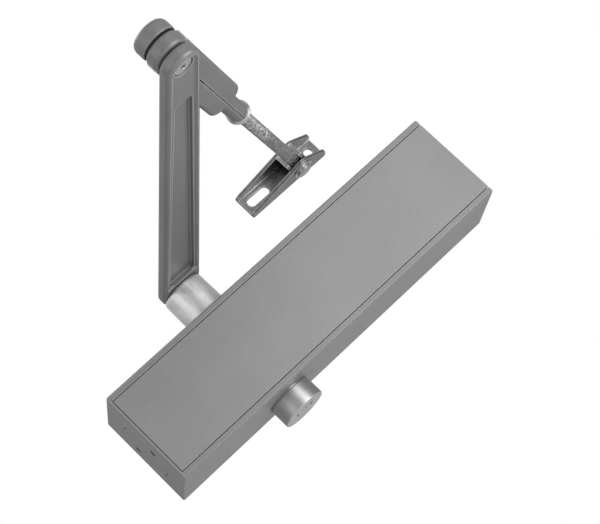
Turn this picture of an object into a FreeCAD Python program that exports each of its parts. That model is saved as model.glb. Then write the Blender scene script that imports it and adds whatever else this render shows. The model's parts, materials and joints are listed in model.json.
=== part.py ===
import FreeCAD, Part
import math
import os

# Surface-mounted rack-and-pinion door closer with a regular (scissor) arm.
# Frame: origin at the centre of the body's back face, +X along the body to the spring end,
# +Y into the door, +Z up along the spindle towards the arm. Millimetres.

V = FreeCAD.Vector

# Body
BODY_LENGTH = 237.0
BODY_HEIGHT = 60.0
BODY_DEPTH = 45.0
EDGE_BEVEL = 0.8
BACK_BEVEL = 0.5
COVER_HEIGHT = 52.0
COVER_THICKNESS = 1.8
COVER_GAP = 0.5
COVER_STANDOFF = 0.9
END_LIP = 1.0
RIB_WIDTH = 1.5
RIB_INSET = 2.0
CLIP_X = 60.0
CLIP_Z = 21.0
CLIP_RADIUS = 2.0
CLIP_DEPTH = 5.0

# Cylinder bore, end plugs and mounting holes
BORE_Y = -19.5
BORE_RADIUS = 15.0
PLUG_RADIUS = 17.0
PLUG_LENGTH = 14.0
PLUG_GAP = 0.6
PLUG_GAP_DEPTH = 2.0
SEAL_SECTION = 0.9
SEAL_INSET = 5.0
CENTRE_HOLE_RADIUS = 1.0
CENTRE_HOLE_DEPTH = 3.0
HOLE_X = 98.0
HOLE_Z = 21.5
HOLE_RADIUS = 2.75
HEAD_RECESS_RADIUS = 4.75
HOLE_SEAT_Y = -8.0

# Regulating valves in the left end plug
VALVE_OFFSET_Y = 9.8
VALVE_OFFSET_Z = 5.5
VALVE_RADIUS = 2.4
VALVE_RECESS = 0.8
VALVE_LENGTH = 11.0
VALVE_CONE = 2.5
VALVE_POINT_RADIUS = 0.5
SLOT_WIDTH = 0.7
SLOT_DEPTH = 1.0

# Spindle and pinion
SPINDLE_X = -40.5
SPINDLE_Y = BORE_Y
JOURNAL_RADIUS = 7.5
RUNNING_CLEARANCE = 0.05
SQUARE = 11.0
TEETH = 10
MODULE = 1.6
PRESSURE_ANGLE = math.radians(25.0)
ADDENDUM = 1.4
DEDENDUM = 1.75
BACKLASH = 0.3
PINION_HALF_FACE = 10.0
CORE_OVERLAP = 0.01
SHAFT_STAND_OUT = 1.0
SHOULDER_GAP = 0.4
SQUARE_SHORTFALL = 3.0
BEARING_RADIUS = 10.5
BEARING_START = 14.0
BEARING_END = 21.0
NUT_RADIUS = 12.5
NUT_COLLAR_RADIUS = 14.3
NUT_COLLAR = 1.4
NUT_BORE_CLEARANCE = 0.4
SEAL_END = 24.3
SPIGOT_RADIUS = 12.0
SPIGOT_LENGTH = 3.0
CAP_RADIUS = 13.3
CAP_TOP = -30.8
CAP_BOTTOM = -42.6
CAP_FLOOR = 2.0
CAP_EDGE = 1.2
CAP_END_GAP = 1.0

# Piston, spring and its adjuster
PISTON_CLEARANCE = 0.15
PISTON_TRAVEL = 24.0
PISTON_WALL = 9.5
WINDOW_CLEARANCE = 11.5
WINDOW_BACK = 10.5
BALL_RADIUS = 2.0
BALL_OFFSET_Z = 8.0
SPRING_WIRE = 1.9
SPRING_MEAN_RADIUS = 11.6
SPRING_TURNS = 14
SEAT_X = 93.0
SEAT_THICKNESS = 4.0
SEAT_RADIUS = 14.5
PILOT_LENGTH = 3.0
PILOT_GAP = 0.5
ADJUSTER_RADIUS = 4.0
ADJUSTER_TIP_X = 86.0
ADJUSTER_RECESS = 2.0
HEX_ACROSS = 4.0
HEX_DEPTH = 4.0

# Main arm
ARM_ANGLE = -90.9
ARM_LENGTH = 262.0
ARM_HUB_OFFSET = 1.2
ARM_BOTTOM = 53.5
ARM_TOP = 60.5
ARM_HUB_RADIUS = 13.5
ARM_END_RADIUS = 9.7
ARM_EDGE = 2.2
ARM_RIM = 2.4
ARM_RECESS = 0.9
ARM_RIB = 4.4
ARM_CORNER = 3.0
ARM_POCKET = 3.2
ARM_POCKET_START = 14.5
ARM_POCKET_END_GAP = 32.0
HUB_RADIUS = 13.0
HUB_BOTTOM = 32.2
HUB_EDGE = 1.5
ARM_WASHER_RADIUS = 9.0
ARM_WASHER = 1.5
SCREW_HEAD_RADIUS = 5.0
SCREW_HEAD = 5.0
SCREW_HEAD_EDGE = 0.6
SCREW_RADIUS = 3.0
SCREW_TIP_Z = 44.0

# Elbow stack, upwards from the main arm
EYE_RADIUS = 9.3
PIN_RADIUS = 4.0
PIN_HEAD_RADIUS = 5.0
PIN_HEAD = 1.6
PIN_HEAD_RECESS = 1.3
PIN_HEAD_EDGE = 0.5
PIN_HEAD_CLEARANCE = 0.4
BUSH_RADIUS = 5.0
PIN_THREAD = 5.0
PIN_SOCKET = 3.0
PIN_SOCKET_DEPTH = 1.2
SPACER = 0.7
SPACER_INSET = 1.5
WASHER = 0.7
WASHER_INSET = 0.4
KNOB = 7.9
KNOB_EDGE = 2.6

# Forearm: pressed sleeve, threaded rod and its end strap
FOREARM_BOTTOM = ARM_TOP + SPACER
FOREARM_THICKNESS = 7.6
FOREARM_TOP = FOREARM_BOTTOM + FOREARM_THICKNESS
SLEEVE_WIDTH = 19.6
SLEEVE_LENGTH = 104.0
SLEEVE_CORNER = 8.0
SLEEVE_EDGE = 2.0
TUBE_RADIUS = 5.2
AXIS_Z = FOREARM_BOTTOM + TUBE_RADIUS
TUBE_START = 15.0
TUBE_END = 137.5
COLLAR_RADIUS = 6.4
COLLAR_LENGTH = 2.0
COLLAR_EDGE = 0.6
SEAM = 0.6
SEAM_START = 12.3
ROD_RADIUS = 3.75
ROD_START = 60.0
SLEEVE_BORE_START = 12.0
ROD_BORE_CLEARANCE = 0.1
TONGUE = 7.6
TONGUE_GAP = 1.5
STRAP_THICKNESS = 2.2
STRAP_HEIGHT = 10.2
STRAP_LENGTH = 13.0
STRAP_PIN_RADIUS = 3.75
STRAP_CORNER = 2.0

# Shoe (frame bracket)
SHOE_PIVOT = V(59.5, -22.5, AXIS_Z)
SHOE_LEFT = -37.6
SHOE_RIGHT = 19.5
SHOE_BACK = 12.0
SHEET = 2.2
SHOE_WIDTH = 15.4
LUG_RADIUS = 8.0
TIP_HEIGHT_LEFT = 4.2
TIP_HEIGHT_RIGHT = 6.5
TIP_CORNER = 2.0
SHOE_BEND = 1.5
SLOT_LEFT = -32.0
SLOT_RIGHT = -22.0
SLOT_RADIUS = 2.9
SHOE_HOLE_X = 13.4
SHOE_HOLE_RADIUS = 2.75
SHOE_PIN_HEAD_RADIUS = 4.8
SHOE_PIN_HEAD = 1.8
SHOE_PIN_EDGE = 0.6
SHOE_WASHER_RADIUS = 6.4
SHOE_WASHER = 0.8
RIVET_RADIUS = 4.6
RIVET_HEIGHT = 1.2

# Derived places
FRONT = -BODY_DEPTH
HALF_LENGTH = BODY_LENGTH / 2
HALF_HEIGHT = BODY_HEIGHT / 2
RECESS_Y = FRONT + COVER_THICKNESS + COVER_STANDOFF
PITCH_RADIUS = MODULE * TEETH / 2
WINDOW_LEFT = SPINDLE_X - PISTON_TRAVEL - WINDOW_CLEARANCE
WINDOW_RIGHT = SPINDLE_X + WINDOW_CLEARANCE
PISTON_LEFT = WINDOW_LEFT - PISTON_WALL
PISTON_RIGHT = WINDOW_RIGHT + PISTON_WALL
SPINDLE = V(SPINDLE_X, SPINDLE_Y, 0)
ELBOW = V(
    SPINDLE_X + ARM_LENGTH * math.cos(math.radians(ARM_ANGLE)),
    SPINDLE_Y + ARM_LENGTH * math.sin(math.radians(ARM_ANGLE)),
    0,
)
REACH = V(SHOE_PIVOT.x - ELBOW.x, SHOE_PIVOT.y - ELBOW.y, 0)
FOREARM_ANGLE = math.degrees(math.atan2(REACH.y, REACH.x))
FOREARM_LENGTH = REACH.Length
ARM_START = V(SPINDLE_X + ARM_HUB_OFFSET, SPINDLE_Y, 0)
ARM_LINE = ELBOW - ARM_START
ARM_LINE_ANGLE = math.degrees(math.atan2(ARM_LINE.y, ARM_LINE.x))
X_AXIS = V(1, 0, 0)
Y_AXIS = V(0, 1, 0)
Z_AXIS = V(0, 0, 1)

# Limits for picking edges
SAME_PLACE = 1e-4
PARALLEL = 0.999
NEAR_END = 1.0


def post(radius, z0, z1, x=0.0, y=0.0):
    """Cylinder along Z."""
    return Part.makeCylinder(radius, z1 - z0, V(x, y, z0), Z_AXIS)


def bar(radius, x0, x1, y=0.0, z=0.0):
    """Cylinder along X."""
    return Part.makeCylinder(radius, x1 - x0, V(x0, y, z), X_AXIS)


def drill(radius, y0, y1, x=0.0, z=0.0):
    """Cylinder along Y."""
    return Part.makeCylinder(radius, y1 - y0, V(x, y0, z), Y_AXIS)


def block(x0, x1, y0, y1, z0, z1):
    return Part.makeBox(x1 - x0, y1 - y0, z1 - z0, V(x0, y0, z0))


def ring(outer, inner, z0, z1, x=0.0, y=0.0):
    return post(outer, z0, z1, x, y).cut(post(inner, z0, z1, x, y))


def prism(points, z0, z1):
    """Closed outline of (x, y) points raised along Z."""
    corners = [V(x, y, z0) for x, y in points]
    face = Part.Face(Part.makePolygon(corners + corners[:1]))
    return face.extrude(V(0, 0, z1 - z0))


def place(shape, angle, position):
    """Turn a part drawn at the origin about Z and carry it to its place."""
    shape.rotate(V(0, 0, 0), Z_AXIS, angle)
    shape.translate(position)
    return shape


def edges_at(shape, keep):
    return [edge for edge in shape.Edges if keep(edge)]


def lies_at_z(edge, z):
    return all(abs(vertex.Z - z) < SAME_PLACE for vertex in edge.Vertexes)


def is_circle_at_x(edge, x):
    return isinstance(edge.Curve, Part.Circle) and abs(edge.Curve.Center.x - x) < SAME_PLACE


def is_line_along(edge, axis):
    if not isinstance(edge.Curve, Part.Line):
        return False
    direction = edge.Vertexes[1].Point - edge.Vertexes[0].Point
    return abs(direction.normalize().dot(axis)) > PARALLEL


def is_front_edge(edge, axis):
    return is_line_along(edge, axis) and abs(edge.Vertexes[0].Y - FRONT) < SAME_PLACE


def tapered_hull(length, radius_a, radius_b, z0, z1):
    """Outline of two circles and their common tangents, raised along Z."""
    tilt = math.asin((radius_a - radius_b) / length)
    sides = []
    for side in (1, -1):
        normal = (math.sin(tilt), side * math.cos(tilt))
        near = (radius_a * normal[0], radius_a * normal[1])
        far = (length + radius_b * normal[0], radius_b * normal[1])
        sides.append((near, far))
    outline = [sides[0][0], sides[0][1], sides[1][1], sides[1][0]]
    hull = prism(outline, z0, z1)
    return hull.fuse([post(radius_a, z0, z1), post(radius_b, z0, z1, length)]).removeSplitter()


def square_post(width, z0, z1):
    half = width / 2
    return block(-half, half, -half, half, z0, z1).common(post(JOURNAL_RADIUS, z0, z1))


# ---------------------------------------------------------------- body

def housing():
    body = block(-HALF_LENGTH, HALF_LENGTH, FRONT, 0, -HALF_HEIGHT, HALF_HEIGHT)
    body = body.makeChamfer(EDGE_BEVEL, edges_at(body, lambda e: is_front_edge(e, X_AXIS)))
    back_edges = edges_at(body, lambda e: max(vertex.Y for vertex in e.Vertexes) > -SAME_PLACE)
    body = body.makeChamfer(BACK_BEVEL, back_edges)
    half_recess = COVER_HEIGHT / 2 + COVER_GAP
    left = END_LIP - HALF_LENGTH
    cuts = [block(left, HALF_LENGTH, FRONT, RECESS_Y, -half_recess, half_recess)]
    cuts.append(bar(BORE_RADIUS, -HALF_LENGTH, HALF_LENGTH, BORE_Y))
    inner = HALF_LENGTH - PLUG_LENGTH
    cuts.append(bar(PLUG_RADIUS, -HALF_LENGTH, -inner, BORE_Y))
    cuts.append(bar(PLUG_RADIUS, inner, HALF_LENGTH, BORE_Y))
    cuts.append(post(BEARING_RADIUS, -BEARING_END, BEARING_END, SPINDLE_X, SPINDLE_Y))
    for side in (1, -1):
        z0, z1 = sorted((side * BEARING_END, side * HALF_HEIGHT))
        cuts.append(post(NUT_RADIUS, z0, z1, SPINDLE_X, SPINDLE_Y))
    for x in (-HOLE_X, HOLE_X):
        for z in (-HOLE_Z, HOLE_Z):
            cuts.append(drill(HOLE_RADIUS, FRONT, 0, x, z))
            cuts.append(drill(HEAD_RECESS_RADIUS, FRONT, HOLE_SEAT_Y, x, z))
    for x in (-CLIP_X, CLIP_X):
        for z in (-CLIP_Z, CLIP_Z):
            cuts.append(drill(CLIP_RADIUS, RECESS_Y, RECESS_Y + CLIP_DEPTH, x, z))
    return body.cut(cuts)


def front_cover():
    half = COVER_HEIGHT / 2
    left = END_LIP + COVER_GAP - HALF_LENGTH
    plate = block(left, HALF_LENGTH, FRONT, FRONT + COVER_THICKNESS, -half, half)
    ribs = []
    for side in (1, -1):
        z0, z1 = sorted((side * half, side * (half - RIB_WIDTH)))
        x = HALF_LENGTH - RIB_INSET
        ribs.append(block(-x, x, FRONT, RECESS_Y, z0, z1))
    return plate.fuse(ribs).removeSplitter()


def cover_clips():
    clips = []
    for x in (-CLIP_X, CLIP_X):
        for z in (-CLIP_Z, CLIP_Z):
            clips.append(drill(CLIP_RADIUS, FRONT + COVER_THICKNESS, RECESS_Y + CLIP_DEPTH, x, z))
    return Part.makeCompound(clips)


def valve_places():
    for side in (1, -1):
        yield BORE_Y + side * VALVE_OFFSET_Y, side * VALVE_OFFSET_Z


def end_plug(side):
    """Screwed plug that closes the bore, with a groove for its seal ring."""
    outside = side * HALF_LENGTH
    inside = side * (HALF_LENGTH - PLUG_LENGTH)
    x0, x1 = sorted((outside, inside))
    plug = bar(PLUG_RADIUS, x0, x1, BORE_Y)
    x_gap = sorted((outside, outside - side * PLUG_GAP_DEPTH))
    gap = bar(PLUG_RADIUS, *x_gap, BORE_Y).cut(bar(PLUG_RADIUS - PLUG_GAP, *x_gap, BORE_Y))
    groove = end_seal(side, SEAL_SECTION)
    slot = bar(PLUG_RADIUS, groove.BoundBox.XMin, groove.BoundBox.XMax, BORE_Y)
    slot = slot.cut(bar(PLUG_RADIUS - 2 * SEAL_SECTION, x0, x1, BORE_Y))
    return plug.cut([slot, gap])


def end_seal(side, section):
    centre = side * (HALF_LENGTH - PLUG_LENGTH + SEAL_INSET)
    return Part.makeTorus(PLUG_RADIUS - section, section, V(centre, BORE_Y, 0), X_AXIS)


def valve_end_plug():
    plug = end_plug(-1)
    inner = PLUG_LENGTH - HALF_LENGTH
    radius = VALVE_RADIUS + RUNNING_CLEARANCE
    cuts = [bar(radius, -HALF_LENGTH, inner, y, z) for y, z in valve_places()]
    cuts.append(bar(CENTRE_HOLE_RADIUS, -HALF_LENGTH, CENTRE_HOLE_DEPTH - HALF_LENGTH, BORE_Y))
    return plug.cut(cuts)


def valve_screw(place_yz):
    """Slotted needle screw that throttles one oil passage."""
    y, z = place_yz
    head = VALVE_RECESS - HALF_LENGTH
    tip = head + VALVE_LENGTH
    body = bar(VALVE_RADIUS, head, tip - VALVE_CONE, y, z)
    base = V(tip - VALVE_CONE, y, z)
    needle = Part.makeCone(VALVE_RADIUS, VALVE_POINT_RADIUS, VALVE_CONE, base, X_AXIS)
    half = SLOT_WIDTH / 2
    slot = block(head, head + SLOT_DEPTH, y - BODY_DEPTH, y + BODY_DEPTH, z - half, z + half)
    return body.fuse(needle).removeSplitter().cut(slot)


def spring_end_plug():
    plug = end_plug(1)
    hole = bar(ADJUSTER_RADIUS + RUNNING_CLEARANCE, 0, HALF_LENGTH, BORE_Y)
    return plug.cut(hole)


def hex_post(across, z0, z1):
    """Hexagonal bar along Z, for key sockets."""
    radius = across / 2 / math.cos(math.radians(30))
    corners = []
    for index in range(6):
        angle = math.radians(60 * index)
        corners.append((radius * math.cos(angle), radius * math.sin(angle)))
    return prism(corners, z0, z1)


def spring_adjust_screw():
    end = HALF_LENGTH - ADJUSTER_RECESS
    screw = bar(ADJUSTER_RADIUS, ADJUSTER_TIP_X, end, BORE_Y)
    socket = hex_post(HEX_ACROSS, 0, HEX_DEPTH)
    socket.rotate(V(0, 0, 0), Y_AXIS, 90)
    socket.translate(V(end - HEX_DEPTH, BORE_Y, 0))
    return screw.cut(socket)


def spring_seat():
    seat = bar(SEAT_RADIUS, SEAT_X, SEAT_X + SEAT_THICKNESS, BORE_Y)
    pilot_radius = SPRING_MEAN_RADIUS - SPRING_WIRE - PILOT_GAP
    pilot = bar(pilot_radius, SEAT_X - PILOT_LENGTH, SEAT_X, BORE_Y)
    hole = bar(ADJUSTER_RADIUS + 2 * RUNNING_CLEARANCE, 0, HALF_LENGTH, BORE_Y)
    return seat.fuse(pilot).removeSplitter().cut(hole)


def closing_spring():
    start = PISTON_RIGHT + SPRING_WIRE
    height = SEAT_X - PISTON_RIGHT - 2 * SPRING_WIRE
    helix = Part.makeHelix(height / SPRING_TURNS, height, SPRING_MEAN_RADIUS)
    wire_circle = Part.makeCircle(SPRING_WIRE, V(SPRING_MEAN_RADIUS, 0, 0), Y_AXIS)
    coil = Part.Wire(helix.Edges).makePipeShell([Part.Wire(wire_circle)], True, True)
    coil.rotate(V(0, 0, 0), Y_AXIS, 90)
    coil.translate(V(start, BORE_Y, 0))
    return coil


# ---------------------------------------------------------------- spindle and piston

def involute_point(base, roll, phase):
    """Point on an involute of the base circle, turned so that its tooth faces -Y."""
    radius = base * math.sqrt(1 + roll * roll)
    angle = phase + roll - math.atan(roll)
    return radius * math.sin(angle), -radius * math.cos(angle)


def pinion_teeth():
    base = PITCH_RADIUS * math.cos(PRESSURE_ANGLE)
    tip = PITCH_RADIUS + ADDENDUM
    root = PITCH_RADIUS - DEDENDUM
    involute = math.tan(PRESSURE_ANGLE) - PRESSURE_ANGLE
    half_tooth = (math.pi * MODULE / 2 - BACKLASH) / (2 * PITCH_RADIUS) + involute
    last_roll = math.sqrt((tip / base) ** 2 - 1)
    steps = 5
    flank = [involute_point(base, last_roll * i / steps, -half_tooth) for i in range(steps + 1)]
    foot = (-root * math.sin(half_tooth), -root * math.cos(half_tooth))
    left = [foot] + flank
    outline = left + [(-x, y) for x, y in reversed(left)]
    core = post(root + CORE_OVERLAP, -PINION_HALF_FACE, PINION_HALF_FACE)
    teeth = []
    for index in range(TEETH):
        tooth = prism(outline + [(0.0, 0.0)], -PINION_HALF_FACE, PINION_HALF_FACE)
        tooth.rotate(V(0, 0, 0), Z_AXIS, 360.0 * index / TEETH)
        teeth.append(tooth)
    return core.fuse(teeth).removeSplitter()


def pinion_spindle():
    """Shaft with the pinion in its middle and a square at each end."""
    shaft_bottom = -HALF_HEIGHT - SHAFT_STAND_OUT
    shaft_top = HUB_BOTTOM - SHOULDER_GAP
    journals = [post(JOURNAL_RADIUS, shaft_bottom, -PINION_HALF_FACE)]
    journals.append(post(JOURNAL_RADIUS, PINION_HALF_FACE, shaft_top))
    square_bottom = CAP_BOTTOM + CAP_FLOOR + CAP_END_GAP
    square_top = ARM_TOP - SQUARE_SHORTFALL
    squares = [square_post(SQUARE, square_bottom, shaft_bottom)]
    squares.append(place(square_post(SQUARE, shaft_top, square_top), ARM_ANGLE, V(0, 0, 0)))
    spindle = pinion_teeth().fuse(journals + squares).removeSplitter()
    spindle = spindle.cut(post(SCREW_RADIUS, SCREW_TIP_Z, square_top))
    return place(spindle, 0, SPINDLE)


def both_ends(outer, inner, start, end):
    """The same ring above and below the bore, round the spindle."""
    rings = []
    for side in (1, -1):
        z0, z1 = sorted((side * start, side * end))
        rings.append(ring(outer, inner, z0, z1, SPINDLE_X, SPINDLE_Y))
    return rings


def spindle_bearings():
    inner = JOURNAL_RADIUS + RUNNING_CLEARANCE
    return Part.makeCompound(both_ends(BEARING_RADIUS, inner, BEARING_START, BEARING_END))


def spindle_seals():
    inner = JOURNAL_RADIUS + RUNNING_CLEARANCE
    return Part.makeCompound(both_ends(BEARING_RADIUS, inner, BEARING_END, SEAL_END))


def bearing_nuts():
    """Screwed rings that hold the bearings and seals; the lower one carries the cap."""
    bore = JOURNAL_RADIUS + NUT_BORE_CLEARANCE
    nuts = both_ends(NUT_RADIUS, bore, SEAL_END, HALF_HEIGHT)
    skirts = both_ends(NUT_RADIUS, BEARING_RADIUS, BEARING_END, SEAL_END)
    top = HALF_HEIGHT + NUT_COLLAR
    collar = ring(NUT_COLLAR_RADIUS, bore, HALF_HEIGHT, top, SPINDLE_X, SPINDLE_Y)
    low = -HALF_HEIGHT - SPIGOT_LENGTH
    spigot = ring(SPIGOT_RADIUS, bore, low, -HALF_HEIGHT, SPINDLE_X, SPINDLE_Y)
    upper = nuts[0].fuse([skirts[0], collar]).removeSplitter()
    lower = nuts[1].fuse([skirts[1], spigot]).removeSplitter()
    return Part.makeCompound([upper, lower])


def spindle_cap():
    """Push-on cup over the unused lower end of the spindle."""
    cup = post(CAP_RADIUS, CAP_BOTTOM, CAP_TOP)
    cup = cup.makeFillet(CAP_EDGE, edges_at(cup, lambda e: lies_at_z(e, CAP_BOTTOM)))
    cup = cup.cut(post(SPIGOT_RADIUS, CAP_BOTTOM + CAP_FLOOR, CAP_TOP))
    return place(cup, 0, SPINDLE)


def rack_outline():
    """Rack teeth below the pinion, with a gap on the line of centres."""
    pitch = math.pi * MODULE
    slope = math.tan(PRESSURE_ANGLE)
    pitch_y = SPINDLE_Y - PITCH_RADIUS
    half_tip = pitch / 4 - ADDENDUM * slope - BACKLASH / 4
    half_foot = pitch / 4 + DEDENDUM * slope
    teeth = []
    count_left = int((SPINDLE_X - WINDOW_LEFT) / pitch)
    for index in range(-count_left, 2):
        centre = SPINDLE_X + (index + 0.5) * pitch
        if WINDOW_LEFT < centre - half_foot and centre + half_foot < WINDOW_RIGHT:
            low, high = pitch_y - DEDENDUM, pitch_y + ADDENDUM
            teeth.append([
                (centre - half_foot, low), (centre - half_tip, high),
                (centre + half_tip, high), (centre + half_foot, low),
            ])
    return teeth


def piston():
    """Hollow piston: a window for the pinion with the rack on its front side."""
    radius = BORE_RADIUS - PISTON_CLEARANCE
    body = bar(radius, PISTON_LEFT, PISTON_RIGHT, BORE_Y)
    root_y = SPINDLE_Y - PITCH_RADIUS - DEDENDUM
    window_back = SPINDLE_Y + WINDOW_BACK
    window = block(WINDOW_LEFT, WINDOW_RIGHT, root_y, window_back, -radius, radius)
    body = body.cut(window)
    teeth = []
    for outline in rack_outline():
        tooth = prism(outline, -PINION_HALF_FACE, PINION_HALF_FACE)
        teeth.append(tooth.common(bar(radius, PISTON_LEFT, PISTON_RIGHT, BORE_Y)))
    body = body.fuse(teeth).removeSplitter()
    return body.cut(bar(BALL_RADIUS, PISTON_LEFT, WINDOW_LEFT, BORE_Y, BALL_OFFSET_Z))


def check_valve():
    centre = V((PISTON_LEFT + WINDOW_LEFT) / 2, BORE_Y, BALL_OFFSET_Z)
    return Part.makeSphere(BALL_RADIUS, centre)


# ---------------------------------------------------------------- main arm and elbow

def arm_hub():
    hub = post(HUB_RADIUS, HUB_BOTTOM, ARM_BOTTOM)
    hub = hub.makeFillet(HUB_EDGE, edges_at(hub, lambda e: lies_at_z(e, ARM_BOTTOM)))
    hub = hub.cut(square_post(SQUARE, HUB_BOTTOM, ARM_BOTTOM))
    return place(hub, ARM_ANGLE, SPINDLE)


def arm_pocket():
    """Long recess in the arm's underside that leaves a rib along each edge."""
    end = ARM_LINE.Length - ARM_POCKET_END_GAP
    span = end - ARM_POCKET_START
    near = ARM_HUB_RADIUS - ARM_RIB
    far = ARM_END_RADIUS - ARM_RIB
    outline = [
        (ARM_POCKET_START, near), (ARM_POCKET_START + span, far),
        (ARM_POCKET_START + span, -far), (ARM_POCKET_START, -near),
    ]
    pocket = prism(outline, ARM_BOTTOM, ARM_BOTTOM + ARM_POCKET)
    corners = edges_at(pocket, lambda e: is_line_along(e, Z_AXIS))
    return pocket.makeFillet(ARM_CORNER, corners)


def arm_face_recess():
    """Shallow step inside the arm's rim, round the elbow pin and up to the hub."""
    top = ARM_BOTTOM + ARM_RECESS
    near = ARM_HUB_RADIUS - ARM_RIM
    step = tapered_hull(ARM_LINE.Length, near, ARM_END_RADIUS - ARM_RIM, ARM_BOTTOM, top)
    return step.cut(block(-near, ARM_POCKET_START, -near, near, ARM_BOTTOM, top))


def main_arm():
    length = ARM_LINE.Length
    plate = tapered_hull(length, ARM_HUB_RADIUS, ARM_END_RADIUS, ARM_BOTTOM, ARM_TOP)
    rims = edges_at(plate, lambda e: lies_at_z(e, ARM_BOTTOM) or lies_at_z(e, ARM_TOP))
    plate = plate.makeFillet(ARM_EDGE, rims)
    cuts = [arm_pocket(), arm_face_recess(), post(PIN_RADIUS, ARM_BOTTOM, ARM_TOP, length)]
    recess = ARM_BOTTOM + PIN_HEAD + PIN_HEAD_RECESS
    cuts.append(post(PIN_HEAD_RADIUS + PIN_HEAD_CLEARANCE, ARM_BOTTOM, recess, length))
    plate = place(plate.cut(cuts), ARM_LINE_ANGLE, ARM_START)
    return plate.cut(place(square_post(SQUARE, ARM_BOTTOM, ARM_TOP), ARM_ANGLE, SPINDLE))


def arm_washer():
    top = ARM_TOP + ARM_WASHER
    return ring(ARM_WASHER_RADIUS, SCREW_RADIUS, ARM_TOP, top, SPINDLE_X, SPINDLE_Y)


def arm_screw():
    base = ARM_TOP + ARM_WASHER
    head = post(SCREW_HEAD_RADIUS, base, base + SCREW_HEAD)
    head = head.makeFillet(SCREW_HEAD_EDGE, edges_at(head, lambda e: lies_at_z(e, base + SCREW_HEAD)))
    socket = hex_post(HEX_ACROSS, base + SCREW_HEAD - HEX_DEPTH, base + SCREW_HEAD)
    shank = post(SCREW_RADIUS, SCREW_TIP_Z, base)
    return place(head.fuse(shank).removeSplitter().cut(socket), 0, SPINDLE)


def elbow_pin():
    head_low = ARM_BOTTOM + PIN_HEAD_RECESS
    head = post(PIN_HEAD_RADIUS, head_low, head_low + PIN_HEAD)
    head = head.makeFillet(PIN_HEAD_EDGE, edges_at(head, lambda e: lies_at_z(e, head_low)))
    shank = post(PIN_RADIUS, head_low + PIN_HEAD, FOREARM_TOP + WASHER + PIN_THREAD)
    pin = head.fuse(shank).removeSplitter()
    pin = pin.cut(hex_post(PIN_SOCKET, head_low, head_low + PIN_SOCKET_DEPTH))
    return place(pin, 0, ELBOW)


def elbow_spacer():
    outer = EYE_RADIUS - SPACER_INSET
    return ring(outer, PIN_RADIUS, ARM_TOP, FOREARM_BOTTOM, ELBOW.x, ELBOW.y)


def elbow_bush():
    bore = PIN_RADIUS + RUNNING_CLEARANCE
    return ring(BUSH_RADIUS, bore, FOREARM_BOTTOM, FOREARM_TOP, ELBOW.x, ELBOW.y)


def elbow_washer():
    top = FOREARM_TOP + WASHER
    return ring(EYE_RADIUS - WASHER_INSET, PIN_RADIUS, FOREARM_TOP, top, ELBOW.x, ELBOW.y)


def elbow_cap():
    """Capped nut on top of the elbow pin."""
    base = FOREARM_TOP + WASHER
    cap = post(EYE_RADIUS, base, base + KNOB)
    cap = cap.makeFillet(KNOB_EDGE, edges_at(cap, lambda e: lies_at_z(e, base + KNOB)))
    return place(cap.cut(post(PIN_RADIUS, base, base + PIN_THREAD)), 0, ELBOW)


# ---------------------------------------------------------------- forearm and shoe

def forearm_sleeve():
    """Pressed sheet folded round the rod, with a seam along its underside."""
    half = SLEEVE_WIDTH / 2
    box = block(0, SLEEVE_LENGTH, -half, half, FOREARM_BOTTOM, FOREARM_TOP)
    corners = edges_at(
        box, lambda e: is_line_along(e, Z_AXIS) and abs(e.Vertexes[0].X - SLEEVE_LENGTH) < SAME_PLACE
    )
    box = box.makeFillet(SLEEVE_CORNER, corners)
    shell = box.fuse(post(EYE_RADIUS, FOREARM_BOTTOM, FOREARM_TOP)).removeSplitter()
    rims = edges_at(
        shell, lambda e: lies_at_z(e, FOREARM_BOTTOM) or lies_at_z(e, FOREARM_TOP)
    )
    shell = shell.makeFillet(SLEEVE_EDGE, rims)
    tube = bar(TUBE_RADIUS, TUBE_START, TUBE_END, 0, AXIS_Z)
    tube = tube.makeFillet(SLEEVE_EDGE, edges_at(tube, lambda e: is_circle_at_x(e, TUBE_START)))
    shell = shell.fuse(tube).removeSplitter()
    bore = bar(ROD_RADIUS + ROD_BORE_CLEARANCE, SLEEVE_BORE_START, TUBE_END, 0, AXIS_Z)
    seam = block(SEAM_START, TUBE_END, -SEAM / 2, SEAM / 2, ARM_TOP, AXIS_Z)
    eye = post(BUSH_RADIUS, FOREARM_BOTTOM, FOREARM_TOP)
    return place(shell.cut([bore, seam, eye]), FOREARM_ANGLE, ELBOW)


def sleeve_collar():
    collar = bar(COLLAR_RADIUS, TUBE_END, TUBE_END + COLLAR_LENGTH, 0, AXIS_Z)
    rims = edges_at(
        collar,
        lambda e: is_circle_at_x(e, TUBE_END) or is_circle_at_x(e, TUBE_END + COLLAR_LENGTH),
    )
    collar = collar.makeFillet(COLLAR_EDGE, rims)
    hole = bar(ROD_RADIUS + ROD_BORE_CLEARANCE, TUBE_END, TUBE_END + COLLAR_LENGTH, 0, AXIS_Z)
    return place(collar.cut(hole), FOREARM_ANGLE, ELBOW)


def adjusting_rod():
    """Threaded rod whose end is squared to sit between the legs of the strap."""
    tongue_start = FOREARM_LENGTH - STRAP_LENGTH
    tongue_end = FOREARM_LENGTH - STRAP_PIN_RADIUS - TONGUE_GAP
    rod = bar(ROD_RADIUS, ROD_START, tongue_start, 0, AXIS_Z)
    half = TONGUE / 2
    tongue = block(tongue_start, tongue_end, -half, half, AXIS_Z - half, AXIS_Z + half)
    return place(rod.fuse(tongue).removeSplitter(), FOREARM_ANGLE, ELBOW)


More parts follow.
